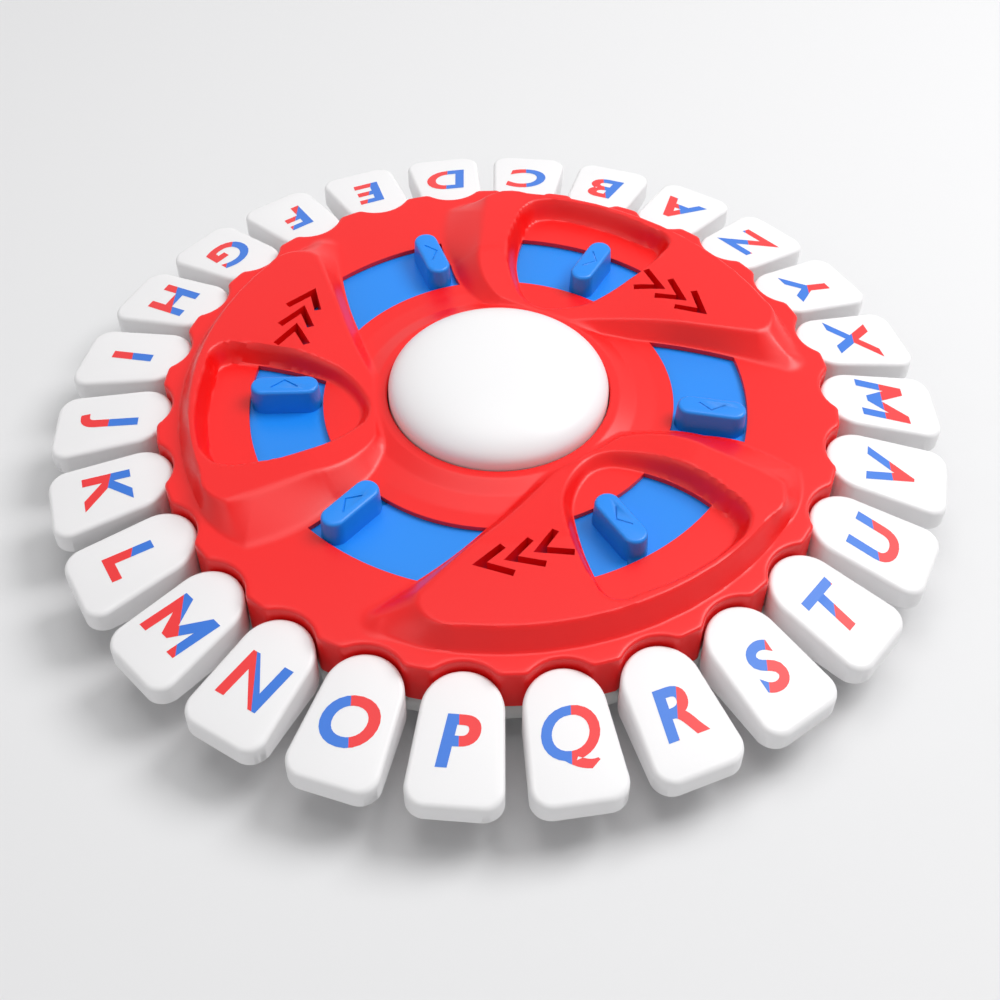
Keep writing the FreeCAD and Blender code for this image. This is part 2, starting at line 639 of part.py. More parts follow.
# The turning ring: a flat plate with a tooth between every two keys on its underside and six
# tapered handles on top. It is drawn with a tooth along +X.
first_tooth = first_key + pitch / 2
ring = new_body("ring_form")
turned(ring, [
    ("ring_collar_outer + ring_clearance", "ring_top - ring_thickness"),
    ("ring_collar_outer + ring_clearance", "ring_top"),
    ("ring_outer", "ring_top"),
    ("ring_outer", "ring_top - ring_thickness"),
])
tooth = new_sketch(ring, "YZ_Plane", height="tooth_inner")
half_foot, half_root = amount("tooth_foot") / 2, amount("tooth_root") / 2
tooth_low, tooth_high = amount("tooth_bottom"), amount("ring_top - ring_thickness")
tooth_spots = [Vector(-half_foot, tooth_low, 0), Vector(half_foot, tooth_low, 0),
               Vector(half_root, tooth_high, 0), Vector(-half_root, tooth_high, 0)]
for index in range(4):
    tooth.addGeometry(Part.LineSegment(tooth_spots[index], tooth_spots[(index + 1) % 4]))
for index in range(4):
    tooth.addConstraint(Sketcher.Constraint("Coincident", index, 2, (index + 1) % 4, 1))
tooth.addConstraint(Sketcher.Constraint("Symmetric", 0, 1, 0, 2, -2))
tooth.addConstraint(Sketcher.Constraint("Symmetric", 2, 1, 2, 2, -2))
for constraint, text in (
        (Sketcher.Constraint("Distance", 0, amount("tooth_foot")), "tooth_foot"),
        (Sketcher.Constraint("Distance", 2, amount("tooth_root")), "tooth_root"),
        (Sketcher.Constraint("DistanceY", -1, 1, 0, 1, tooth_low), "tooth_bottom"),
        (Sketcher.Constraint("DistanceY", -1, 1, 2, 1, tooth_high),
         "ring_top - ring_thickness")):
    number = tooth.addConstraint(constraint)
    tooth.setExpression(f"Constraints[{number}]", linked(text))
tooth_pad = padded(ring, tooth, "ring_outer - tooth_inner")
repeated(ring, tooth_pad, "key_count")
for step in (0.0, amount("handle_step")):
    turn = amount("handle_angle") + step - first_tooth
    grip = new_sketch(ring, "XY_Plane", height="ring_top")
    radius = amount("handle_radius")
    near = Vector(amount("handle_inner + handle_radius"), 0, 0)
    far = Vector(amount("handle_outer - handle_radius"), 0, 0)
    side = Vector(0, radius, 0)
    grip.addGeometry([
        Part.ArcOfCircle(Part.Circle(near, upward, radius), math.pi / 2, 3 * math.pi / 2),
        Part.LineSegment(near - side, far - side),
        Part.ArcOfCircle(Part.Circle(far, upward, radius), -math.pi / 2, math.pi / 2),
        Part.LineSegment(far + side, near + side),
    ])
    for index in range(4):
        grip.addConstraint(Sketcher.Constraint("Tangent", index, 2, (index + 1) % 4, 1))
    grip.addConstraint(Sketcher.Constraint("PointOnObject", 0, 3, -1))
    grip.addConstraint(Sketcher.Constraint("PointOnObject", 2, 3, -1))
    for constraint, text in (
            (Sketcher.Constraint("DistanceX", -1, 1, 0, 3, near.x),
             "handle_inner + handle_radius"),
            (Sketcher.Constraint("DistanceX", -1, 1, 2, 3, far.x),
             "handle_outer - handle_radius"),
            (Sketcher.Constraint("Radius", 2, radius), "handle_radius")):
        number = grip.addConstraint(constraint)
        grip.setExpression(f"Constraints[{number}]", linked(text))
    grip.AttachmentOffset = Placement(Vector(0, 0, amount("ring_top")), Rotation(upward, turn))
    grip.setExpression("AttachmentOffset.Base.z", linked("ring_top"))
    grip_pad = padded(ring, grip, "handle_top - ring_top")
    bind(grip_pad, TaperAngle="0 - handle_draft")
    repeated(ring, grip_pad, "petal_count")
ring.Placement = Placement(Vector(0, 0, 0), Rotation(upward, first_tooth))
keep(ring, "reset_ring")

# The button: a domed shell with a skirt, a stop flange and a stem.
button = new_body("button_form")
flange_top = "collar_bottom - flange_gap"
flange_bottom = flange_top + " - flange_height"
ceiling = "button_edge + button_wall"
dome = []
for step in range(1, DOME_STEPS + 1):
    lean = math.pi / 2 * step / DOME_STEPS
    reach = math.sin(lean) ** (2 / amount("button_fullness"))
    rise = max(math.cos(lean), 0.0) ** (2 / amount("button_fullness"))
    dome.append((f"button_radius * {reach:.4f}",
                 f"button_edge + (button_top - button_edge) * {rise:.4f}"))
turned(button, [
    ("0", "button_top"),
    *dome,
    ("button_radius", flange_top),
    ("flange_radius", flange_top),
    ("flange_radius", flange_bottom),
    ("button_radius - button_wall", flange_bottom),
    ("button_radius - button_wall", ceiling),
    ("stem_radius", ceiling),
    ("stem_radius", "stem_bottom"),
    ("0", "stem_bottom"),
])
keep(button, "centre_button")

# The carrier: a flat ring that the keys' tails rest on, with pins between posts at its edge.
carrier = new_body("carrier_form")
shelf = "skirt_bottom + floor_wall"
plate_top = shelf + " + carrier_wall"
turned(carrier, [
    ("tail_end - carrier_rim", shelf),
    ("tail_end - carrier_rim", plate_top),
    ("carrier_outer", plate_top),
    ("carrier_outer", shelf),
])
post = new_sketch(carrier, "XY_Plane", height=shelf)
post_width = "2 * pivot_radius * tan(180 / key_count) - lever_width - 2 * lever_play"
half_depth, half_post = amount("post_depth") / 2, amount(post_width) / 2
post_spots = [Vector(amount("pivot_radius") + half_depth * across, half_post * along, 0)
              for across, along in ((-1, -1), (1, -1), (1, 1), (-1, 1))]
for index in range(4):
    post.addGeometry(Part.LineSegment(post_spots[index], post_spots[(index + 1) % 4]))
for index in range(4):
    post.addConstraint(Sketcher.Constraint("Coincident", index, 2, (index + 1) % 4, 1))
for index in (0, 2):
    post.addConstraint(Sketcher.Constraint("Horizontal", index))
post.addConstraint(Sketcher.Constraint("Symmetric", 1, 1, 1, 2, -1))
post.addConstraint(Sketcher.Constraint("Vertical", 3))
for constraint, text in (
        (Sketcher.Constraint("Distance", 0, amount("post_depth")), "post_depth"),
        (Sketcher.Constraint("Distance", 1, amount(post_width)), post_width),
        (Sketcher.Constraint("DistanceX", -1, 1, 0, 1, post_spots[0].x),
         "pivot_radius - post_depth / 2")):
    number = post.addConstraint(constraint)
    post.setExpression(f"Constraints[{number}]", linked(text))
post.AttachmentOffset = Placement(Vector(0, 0, amount(shelf)), Rotation(upward, pitch / 2))
post.setExpression("AttachmentOffset.Base.z", linked(shelf))
post_pad = padded(carrier, post, "post_top - (" + shelf + ")")
repeated(carrier, post_pad, "key_count")
pin = new_sketch(carrier, "XZ_Plane")
disc(pin, "pivot_radius", "pin_radius", "pivot_height")
pin_pad = padded(carrier, pin, "lever_width + 2 * lever_play + post_depth", both_ways=True)
repeated(carrier, pin_pad, "key_count")
carrier.Placement = Placement(Vector(0, 0, 0), Rotation(upward, first_key))
carrier_holes = [rod(f"carrier_hole_{index}", "screw_radius + screw_head_room",
                     "skirt_bottom", "parting_height", *spot)
                 for index, spot in enumerate(screw_spots)]
keep(cut("carrier", carrier, carrier_holes), "key_carrier")

# The base: a round tub under the rim with the rail of the turning ring, a battery box in the
# middle, bosses for the screws and posts for the circuit board.
tub = new_body("tub_form")
floor_top = "floor_bottom + floor_wall"
turned(tub, [
    ("0", "floor_bottom"),
    ("tub_radius", "floor_bottom"),
    ("tub_radius", "skirt_bottom"),
    ("rim_inner + scallop_gap", "skirt_bottom"),
    ("rim_inner + scallop_gap", shelf),
    ("tub_radius - floor_wall", shelf),
    ("tub_radius - floor_wall", floor_top),
    ("rail_radius + rail_width", floor_top),
    ("rail_radius + rail_width", "ring_top - ring_thickness - rail_gap"),
    ("rail_radius", "ring_top - ring_thickness - rail_gap"),
    ("rail_radius", floor_top),
    ("0", floor_top),
])
cell_half = "cell_length / 2 + cell_cap_length"
room_x = cell_half + " + box_clearance + contact_thickness"
room_y = "cell_spacing / 2 + cell_radius + box_clearance"
room_bottom = "floor_bottom + door_thickness"
cell_height = room_bottom + " + box_clearance + cell_radius"
room_top = cell_height + " + cell_radius + box_clearance"
shell_x, shell_y = room_x + " + box_wall", room_y + " + box_wall"
shell_top = room_top + " + box_wall"
door_x, door_y = room_x + " + door_ledge", room_y + " + door_ledge"
tab_end = door_x + " + tab_length"


def less(text):
    """The negative of a sum."""
    return "0 - (" + text + ")"


base_blocks = [
    block("box_shell", (less(shell_x), less(shell_y), "floor_bottom"),
          (shell_x, shell_y, shell_top)),
    block("tab_shell", (room_x, less("tab_half_width + box_wall"), "floor_bottom"),
          (tab_end + " + box_wall", "tab_half_width + box_wall",
           floor_top + " + box_wall")),
]
cell_rest = block("box_room", (less(room_x), less(room_y), "0"), (room_x, room_y, room_top))
door_room = block("door_room",
                  (less(door_x + " + door_gap"), less(door_y + " + door_gap"), "0"),
                  (door_x + " + door_gap", door_y + " + door_gap", room_bottom))
tab_room = block("tab_room", (room_x, less("tab_half_width + door_gap"), "0"),
                 (tab_end + " + door_gap", "tab_half_width + door_gap", room_bottom))
tab_screw = amount(door_x + " + tab_length / 2")
base_bosses = [rod(f"base_boss_{index}", "boss_radius", "floor_bottom", shelf, *spot)
               for index, spot in enumerate(screw_spots)]
base_bosses.append(rod("door_boss", "boss_radius", floor_top, "parting_height",
                       tab_screw, 0))
base_holes = []
for index, spot in enumerate(screw_spots):
    base_holes.append(rod(f"base_hole_{index}", "screw_radius + screw_head_room", "0",
                          "parting_height", *spot))
    base_holes.append(rod(f"head_room_{index}", "screw_head + screw_head_room", "0",
                          "floor_bottom + screw_head_height + screw_head_room", *spot))
door_hole = rod("door_hole", "screw_hole", "0", "skirt_bottom + floor_wall", tab_screw, 0)
base_solid = fused("base_solid", [tub, rim_part("base_rim", "skirt_bottom", "parting_height")]
                   + base_blocks + base_bosses)
base_hollow = cut("base_hollow", base_solid, [cell_rest, door_room, tab_room, door_hole]
                  + base_holes)
board_posts = [rod(f"board_post_{index}", "board_post_radius", shell_top, "board_bottom",
                   across * amount("board_post_x"), along * amount("board_post_y"))
               for index, (across, along) in enumerate(((1, 1), (-1, 1), (-1, -1), (1, -1)))]
keep(fused("base", [base_hollow] + board_posts), "base_shell")

# The battery door with its screw tab, the cells and the two contact plates.
door_plate = block("door_plate", (less(door_x), less(door_y), "floor_bottom"),
                   (door_x, door_y, room_bottom))
door_tab = block("door_tab", (room_x, less("tab_half_width"), "floor_bottom"),
                 (tab_end, "tab_half_width", room_bottom))
door_solid = fused("door_solid", [door_plate, door_tab])
door_head_room = rod("door_head_room", "screw_head + screw_head_room", "0",
                     "floor_bottom + door_head_height", tab_screw, 0)
door_bore = rod("door_bore", "screw_hole", "0", "skirt_bottom", tab_screw, 0)
keep(cut("door", door_solid, [door_head_room, door_bore]), "battery_door")

for number, way in ((1, 1.0), (2, -1.0)):
    can = doc.addObject("Part::Cylinder", f"can_{number}")
    cap = doc.addObject("Part::Cylinder", f"cap_{number}")
    along = Rotation(Vector(0, 1, 0), 90 * way)
    across = way * amount("cell_spacing") / 2
    start = -way * amount("cell_length / 2")
    can.Placement = Placement(Vector(start, across, 0), along)
    cap.Placement = Placement(Vector(-start, across, 0), along)
    bind(can, Radius="cell_radius", Height="cell_length")
    bind(cap, Radius="cell_cap_radius", Height="cell_cap_length")
    for item in (can, cap):
        item.setExpression("Placement.Base.z", linked(cell_height))
    keep(fused(f"cell_{number}", [can, cap]), f"battery_{number}")

plates = []
for name, near, far in (("plus", cell_half + " + box_clearance", room_x),
                        ("minus", less(room_x), less(cell_half + " + box_clearance"))):
    plates.append(block(f"plate_{name}",
                        (near, less("cell_spacing / 2 + cell_radius"), room_bottom),
                        (far, "cell_spacing / 2 + cell_radius", room_top)))
keep(fused("plates", plates), "battery_contacts")

# The circuit board with the push switch in its middle and the buzzer beside it.
board_top = "board_bottom + board_thickness"
keep(block("board", (less("board_length / 2"), less("board_width / 2"), "board_bottom"),
           ("board_length / 2", "board_width / 2", board_top)), "circuit_board")
switch_case = block("switch_case",
                    (less("switch_size / 2"), less("switch_size / 2"), board_top),
                    ("switch_size / 2", "switch_size / 2", board_top + " + switch_height"))
plunger = block("plunger", (less("plunger_size / 2"), less("plunger_size / 2"), board_top),
                ("plunger_size / 2", "plunger_size / 2",
                 board_top + " + switch_height + plunger_height"))
keep(fused("switch", [switch_case, plunger]), "button_switch")
keep(rod("sounder", "buzzer_radius", board_top, board_top + " + buzzer_height",
         0.0, amount("buzzer_place")), "buzzer")

# The leaf spring: a strip with its feet on the board, arched over the switch to the stem.
leaf = new_body("leaf_form")
strip = new_sketch(leaf, "XZ_Plane")
crest_top = "stem_bottom - leaf_gap"
polygon(strip, [
    (less("leaf_foot"), board_top),
    (less("leaf_bend"), board_top),
    (less("leaf_crest"), crest_top + " - leaf_thickness"),
    ("leaf_crest", crest_top + " - leaf_thickness"),
    ("leaf_bend", board_top),
    ("leaf_foot", board_top),
    ("leaf_foot", board_top + " + leaf_thickness"),
    ("leaf_bend + leaf_thickness", board_top + " + leaf_thickness"),
    ("leaf_crest + leaf_thickness", crest_top),
    (less("leaf_crest + leaf_thickness"), crest_top),
    (less("leaf_bend + leaf_thickness"), board_top + " + leaf_thickness"),
    (less("leaf_foot"), board_top + " + leaf_thickness"),
])
padded(leaf, strip, "leaf_width", both_ways=True)
keep(leaf, "button_spring")


def screw(name, across, along, top):
    """A round-headed screw driven up from the underside."""
    head_bottom = "floor_bottom + screw_head_room"
    head = rod(name + "_head", "screw_head", head_bottom,
               head_bottom + " + screw_head_height", across, along)
    shank = rod(name + "_shank", "screw_radius", head_bottom, top, across, along)
    return fused(name, [head, shank])


# The screws of the case, the screw of the door and the four feet.
keep(fused("screws", [screw(f"screw_{index}", *spot, "screw_top")
                      for index, spot in enumerate(screw_spots)]), "case_screws")
door_head = rod("door_screw_head", "screw_head", "floor_bottom",
                "floor_bottom + door_head_height", tab_screw, 0)
door_shank = rod("door_screw_shank", "screw_radius", "floor_bottom", "skirt_bottom",
                 tab_screw, 0)
keep(fused("tab_screw", [door_head, door_shank]), "door_screw")
feet = [rod(f"foot_{index}", "foot_radius", "0", "floor_bottom",
            *around(amount("foot_circle"), 360.0 / amount("foot_count") * (index + 0.5)))
        for index in range(int(amount("foot_count")))]
keep(fused("feet", feet), "rubber_feet")

sheet.clear("D1")
doc.recompute()

for item in doc.Objects:
    if "Invalid" in item.State or "Error" in item.State:
        raise RuntimeError(f"{item.Label} could not be built: {item.State}")
for item in pieces:
    if item.Shape.isNull() or not item.Shape.isValid():
        raise RuntimeError(f"{item.Label} has no valid shape")

os.makedirs("parts", exist_ok=True)
for item in pieces:
    item.Shape.exportStep(f"parts/{item.Label}.step")
    print(f"{item.Label}: {len(item.Shape.Solids)} solid, {item.Shape.Volume / 1000:.2f} cm3")
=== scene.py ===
import math

import bmesh
import bpy
import numpy as np
from mathutils import Matrix, Vector


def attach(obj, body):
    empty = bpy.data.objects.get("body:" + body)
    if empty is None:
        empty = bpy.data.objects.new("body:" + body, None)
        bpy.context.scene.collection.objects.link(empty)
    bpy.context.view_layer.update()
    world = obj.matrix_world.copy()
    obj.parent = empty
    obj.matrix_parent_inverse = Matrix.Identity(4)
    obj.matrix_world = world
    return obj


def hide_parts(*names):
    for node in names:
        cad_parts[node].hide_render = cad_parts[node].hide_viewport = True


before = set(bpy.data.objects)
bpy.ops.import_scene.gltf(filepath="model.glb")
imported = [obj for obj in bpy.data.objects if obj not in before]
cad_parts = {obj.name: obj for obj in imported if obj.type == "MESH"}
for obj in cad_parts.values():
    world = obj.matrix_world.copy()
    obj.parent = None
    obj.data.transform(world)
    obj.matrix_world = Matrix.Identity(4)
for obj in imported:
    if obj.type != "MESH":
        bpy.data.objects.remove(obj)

# The board's axis is Z, the table is Z = 0 and the player sits at -Y. The board's lengths
# are in millimetres and are turned into metres where a mesh is made. Those of the grain, the
# floor and the lamps are in metres.
MM = 0.001
FINE = 2
LETTERS = "ABCDEFGHIJKLMNOPQRSTUVWXYZ"
FIRST_KEY = 57.68
PITCH = 360.0 / len(LETTERS)
THIRD = 120.0
THIRDS = (0.0, THIRD, 2 * THIRD)

# Moulded plastic and printing ink: each colour drifts slightly over a piece, its gloss drifts
# with it, and a fine grain breaks up the highlights. Colours are written as a screen shows them.
REFRACTION = 1.49
CLOUD_SCALE, CLOUD_DETAIL = 22.0, 4.0
GLOSS_DRIFT = 0.05
GRAIN_SCALE, GRAIN_DEPTH = 2600.0, 0.0001
# The numbers of a mix node's sockets for two colours and for their mixture.
COLOUR_A, COLOUR_B, COLOUR_OUT = 6, 7, 2


def linear(red, green, blue):
    """A colour as it shows on a screen, from 0 to 255, as the linear colour of a shader."""
    return [(part / 255) ** 2.2 for part in (red, green, blue)]


def plastic(name, colour, roughness, grain, drift):
    """A plastic or ink whose colour drifts by a share of itself, with grain of some strength."""
    material = bpy.data.materials.new(name)
    material.use_nodes = True
    nodes, links = material.node_tree.nodes, material.node_tree.links
    surface = nodes["Principled BSDF"]
    surface.inputs["IOR"].default_value = REFRACTION
    place = nodes.new("ShaderNodeTexCoord")
    cloud = nodes.new("ShaderNodeTexNoise")
    cloud.inputs["Scale"].default_value = CLOUD_SCALE
    cloud.inputs["Detail"].default_value = CLOUD_DETAIL
    links.new(place.outputs["Object"], cloud.inputs["Vector"])
    tint = nodes.new("ShaderNodeMix")
    tint.data_type = "RGBA"
    tint.inputs[COLOUR_A].default_value = [part * (1 - drift) for part in colour] + [1.0]
    tint.inputs[COLOUR_B].default_value = [min(part * (1 + drift), 1) for part in colour] + [1.0]
    links.new(cloud.outputs["Fac"], tint.inputs["Factor"])
    links.new(tint.outputs[COLOUR_OUT], surface.inputs["Base Color"])
    gloss = nodes.new("ShaderNodeMapRange")
    gloss.inputs["To Min"].default_value = roughness - GLOSS_DRIFT
    gloss.inputs["To Max"].default_value = roughness + GLOSS_DRIFT
    links.new(cloud.outputs["Fac"], gloss.inputs["Value"])
    links.new(gloss.outputs["Result"], surface.inputs["Roughness"])
    texture = nodes.new("ShaderNodeTexNoise")
    texture.inputs["Scale"].default_value = GRAIN_SCALE
    links.new(place.outputs["Object"], texture.inputs["Vector"])
    bump = nodes.new("ShaderNodeBump")
    bump.inputs["Strength"].default_value = grain
    bump.inputs["Distance"].default_value = GRAIN_DEPTH
    links.new(texture.outputs["Fac"], bump.inputs["Height"])
    links.new(bump.outputs["Normal"], surface.inputs["Normal"])
    return material


WHITE = plastic("white_plastic", linear(240, 239, 240), 0.38, 0.10, 0.01)
RED = plastic("red_plastic", linear(237, 16, 15), 0.36, 0.10, 0.02)
BLUE = plastic("blue_plastic", linear(22, 134, 236), 0.36, 0.10, 0.02)
SHELL = plastic("base_plastic", linear(196, 196, 195), 0.50, 0.15, 0.04)
INK_BLUE = plastic("blue_ink", linear(52, 116, 214), 0.45, 0.05, 0.01)
INK_RED = plastic("red_ink", linear(236, 52, 54), 0.45, 0.05, 0.01)
PAPER = plastic("paper", linear(228, 228, 229), 0.80, 0.0, 0.0)

# The letter keys: white caps moulded in hard plastic, hollow underneath, each with a round
# inner end, a top that slopes down outwards and softly rounded upper edges. Each cap is one
# piece with the lever that carries it on its pin.
KEY_TIP_TOP, KEY_APEX_TOP = 18.8, 25.3
KEY_TIP, KEY_APEX = 125.3, 91.3
KEY_SLOPE = (KEY_APEX_TOP - KEY_TIP_TOP) / (KEY_TIP - KEY_APEX)
KEY_EDGE = 1.3
# How far a point of the cap's top may lie from its plane, and inside the cap's inner end.
OFF_TOP, PAST_APEX = 0.05, 0.5
WELD = 0.002
FLAT, SHARP = math.radians(1.0), math.radians(30)


def piece(name, mesh, materials, body, nodes=(), smooth=35.0):
    """An object of the board that moves with a body and stands for some of its CAD nodes."""
    item = bpy.data.objects.new(name, mesh)
    bpy.context.scene.collection.objects.link(item)
    if mesh.materials:
        mesh.materials.clear()
    for material in materials:
        mesh.materials.append(material)
    mesh.polygons.foreach_set("use_smooth", [True] * len(mesh.polygons))
    mesh.set_sharp_from_angle(angle=math.radians(smooth))
    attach(item, body)
    if nodes:
        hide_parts(*nodes)


def around(radius, angle):
    """A plan point at a radius and an angle."""
    turn = math.radians(angle)
    return Vector((radius * math.cos(turn), radius * math.sin(turn), 0))


def finished(name, bm):
    """The mesh of an edited form."""
    mesh = bpy.data.meshes.new(name)
    bm.to_mesh(mesh)
    bm.free()
    return mesh


def solid_form(node):
    """A copy of a node's solid, with its facets joined into whole faces."""
    bm = bmesh.new()
    bm.from_mesh(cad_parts[node].data)
    bmesh.ops.remove_doubles(bm, verts=bm.verts, dist=WELD * MM)
    bmesh.ops.dissolve_limit(bm, angle_limit=FLAT, verts=bm.verts, edges=bm.edges)
    return bm


def rounded(bm, size, on_top):
    """Round the sharp edges whose two ends both lie on the top."""
    rim = [edge for edge in bm.edges if all(on_top(vert) for vert in edge.verts)
           and edge.calc_face_angle(0) > SHARP]
    bmesh.ops.bevel(bm, geom=rim, offset=size * MM, offset_type="OFFSET", segments=2 * FINE,
                    profile=0.5, affect="EDGES", clamp_overlap=True, material=-1)


def key_top(reach):
    """The height of a cap's top at a distance from the board's axis."""
    return KEY_TIP_TOP + (KEY_TIP - reach) * KEY_SLOPE


for index, letter in enumerate(LETTERS):
    node = "key_" + letter.lower()
    out = around(1.0, FIRST_KEY + PITCH * index)

    def on_cap(vert):
        reach = vert.co.dot(out) / MM
        return reach > KEY_APEX - PAST_APEX and abs(vert.co.z / MM - key_top(reach)) < OFF_TOP

    cap = solid_form(node)
    rounded(cap, KEY_EDGE, on_cap)
    piece(node + "_cap", finished(node + "_cap", cap), [WHITE], node, [node])

# The letters: one plain capital printed on each key in two inks, with its top towards the
# middle of the board. A line from front to back parts the inks: red is on the player's left
# of it from A to N, and on the right from O to Z.
LETTER_HEIGHT = 13.5
LETTER_MIDDLE = 109.3
LETTER_LEAN = 0.14
LETTER_WEIGHT, CLOSE_WEIGHT = 0.030, 0.020
CAPITAL_HEIGHT = 0.7
CAPITAL_WELD = 1e-5
INK_RISE = 0.05
LAST_LEFT = LETTERS.index("N")
# The M, which upside down is the W, has an outline of its own, because the font's letter
# closes up when its strokes are thickened.
M_OUTLINE = [(0.00, 0.00), (0.15, 0.00), (0.15, 0.44), (0.34, 0.13), (0.46, 0.13),
             (0.65, 0.44), (0.65, 0.00), (0.80, 0.00), (0.80, 0.76), (0.64, 0.76),
             (0.40, 0.36), (0.16, 0.76), (0.00, 0.76)]


def letter_shape(letter, weight):
    """The flat shape of a capital, leaning and with thickened strokes."""
    if letter in "MW":
        mesh = bpy.data.meshes.new("capital")
        turned = 1 if letter == "M" else -1
        points = [(turned * (x + y * LETTER_LEAN), turned * y, 0) for x, y in M_OUTLINE]
        mesh.from_pydata(points, [], [range(len(points))])
        return mesh
    curve = bpy.data.curves.new("capital", "FONT")
    curve.body = letter
    curve.shear = LETTER_LEAN
    curve.offset = weight
    curve.resolution_u = 3 * FINE
    text = bpy.data.objects.new("capital", curve)
    mesh = bpy.data.meshes.new_from_object(text)
    bpy.data.objects.remove(text)
    return mesh


def letter_mesh(letter, angle):
    """A capital printed just above its key's sloping top, split between two inks."""
    weight = CLOSE_WEIGHT if letter == "Q" else LETTER_WEIGHT
    bm = bmesh.new()
    bm.from_mesh(letter_shape(letter, weight))
    bmesh.ops.triangulate(bm, faces=bm.faces)
    bmesh.ops.remove_doubles(bm, verts=bm.verts, dist=CAPITAL_WELD)
    lows = [min(vert.co[axis] for vert in bm.verts) for axis in (0, 1)]
    highs = [max(vert.co[axis] for vert in bm.verts) for axis in (0, 1)]
    middle = Vector(((lows[0] + highs[0]) / 2, (lows[1] + highs[1]) / 2, 0))
    scale = LETTER_HEIGHT / (CAPITAL_HEIGHT + 2 * weight)
    out = math.radians(angle)
    for vert in bm.verts:
        side, rise = ((vert.co - middle) * scale).xy
        reach = LETTER_MIDDLE - rise
        vert.co = Vector((reach * math.cos(out) - side * math.sin(out),
                          reach * math.sin(out) + side * math.cos(out),
                          key_top(reach) + INK_RISE)) * MM
    parting = around(LETTER_MIDDLE, angle) * MM
    bmesh.ops.bisect_plane(bm, geom=bm.verts[:] + bm.edges[:] + bm.faces[:],
                           plane_co=parting, plane_no=(1, 0, 0))
    red_right = LETTERS.index(letter) > LAST_LEFT
    for face in bm.faces:
        on_right = face.calc_center_median().x > parting.x
        face.material_index = int(on_right == red_right)
    bmesh.ops.recalc_face_normals(bm, faces=bm.faces)
    if sum(face.normal.z for face in bm.faces) < 0:
        bmesh.ops.reverse_faces(bm, faces=bm.faces)
    return finished("letter_" + letter, bm)


for index, letter in enumerate(LETTERS):
    piece("letter_" + letter, letter_mesh(letter, FIRST_KEY + PITCH * index),
          [INK_BLUE, INK_RED], "key_" + letter.lower())

# The cover: one moulding in glossy red plastic. Three petals swirl out of the ring round
# the button, each with crisp walls, a sunk pocket and three chevron-shaped slots. Six windows
# open on the turning ring, and the rim is scalloped round the keys' inner ends.
DECK, DECK_UNDER, CREST = 28.0, 26.6, 34.0
HUB_BORE = 31.0
PETAL_HUB, PETAL_RIM = 33.0, 90.0
RIM, RIM_INNER, RIM_BOTTOM = 94.5, 88.5, 14.7
RIM_EDGE = 0.9
BITE_CENTRE, BITE_RADIUS = 101.5, 10.7
CUSP = 2.0
# The angle at which the first petal's third of the cover starts.
PETAL_START = 4.0
POCKET_ROLL, POCKET_FULLNESS = 3.5, 1.6
WALL_ROUND = 0.17
TINY = 1e-9

# The height of the deck and of a petal's top along a radius, as (radius, height).
DECK_PROFILE = [(HUB_BORE, 30.1), (31.4, 30.5), (33.7, 30.5), (34.3, 30.3),
                (38.3, 28.75), (38.9, 28.65), (43.8, 28.05), (44.6, DECK)]
LID_PROFILE = [(PETAL_HUB, 30.5), (34.0, 30.7), (56.5, 33.8), (59.0, CREST)]

# A petal's foot, its top edge and the floor of its pocket, as (share of the way from hub to
# rim, angle) on a walk round each outline. Every second point is the middle of an arc.
PETAL_FOOT = [
    (0.978, 12.0), (0.981, 48.0), (0.974, 88.0), (0.968, 95.8),
    (0.923, 101.3), (0.702, 104.6), (0.439, 104.6), (0.228, 103.0),
    (0.061, 95.0), (0.000, 72.0), (0.011, 50.0), (0.123, 37.0),
    (0.284, 26.5), (0.563, 15.5), (0.860, 6.6), (0.945, 7.0),
]
PETAL_TOP = [
    (0.900, 24.0), (0.900, 51.0), (0.912, 84.5), (0.919, 89.8),
    (0.870, 92.6), (0.667, 93.2), (0.439, 95.3), (0.228, 95.0),
    (0.088, 89.0), (0.035, 71.0), (0.046, 54.0), (0.158, 42.0),
    (0.340, 30.0), (0.563, 20.8), (0.770, 16.0), (0.862, 17.8),
]
POCKET_FLOOR = [
    (0.740, 50.6), (0.489, 51.0), (0.256, 54.3), (0.154, 60.5),
    (0.107, 68.0), (0.112, 74.0), (0.163, 79.3), (0.414, 84.6),
    (0.665, 83.6), (0.740, 83.0), (0.800, 81.3), (0.825, 79.0),
    (0.833, 75.0), (0.825, 65.5), (0.814, 56.0), (0.800, 51.8),
]
ARC_STEPS = 12

# The cover's skin is a net of spokes and rings. The rings are round up to the last one, just
# inside the bites. From there on they lie at shares of the way to the scalloped rim.
SPOKES = len(LETTERS) * 12 * FINE
STEADY_RINGS = 67 * FINE + 1
LAST_RING = 89.7
EDGE_ROWS = (0.35, 0.6, 0.78, 0.86, 0.92, 0.96, 0.985, 1.0)


def arcs(points):
    """Plan points along the arcs through the points of an outline."""
    spots = []
    for share, angle in points:
        radius = PETAL_HUB + (PETAL_RIM - PETAL_HUB) * share
        spots.append(radius * np.array([math.cos(math.radians(angle)),
                                        math.sin(math.radians(angle))]))
    spots.append(spots[0])
    line = []
    for index in range(0, len(points), 2):
        start, middle, end = spots[index:index + 3]
        doubled = 2 * np.array([middle - start, end - start])
        squares = np.array([middle @ middle - start @ start, end @ end - start @ start])
        centre = np.linalg.solve(doubled, squares)
        turns = [math.atan2(*(spot - centre)[::-1]) for spot in (start, middle, end)]
        sweep = (turns[2] - turns[0]) % math.tau
        if (turns[1] - turns[0]) % math.tau > sweep:
            sweep -= math.tau
        radius = np.linalg.norm(start - centre)
        for step in range(ARC_STEPS):
            bend = turns[0] + sweep * step / ARC_STEPS
            line.append(centre + radius * np.array([math.cos(bend), math.sin(bend)]))
    return np.array(line)


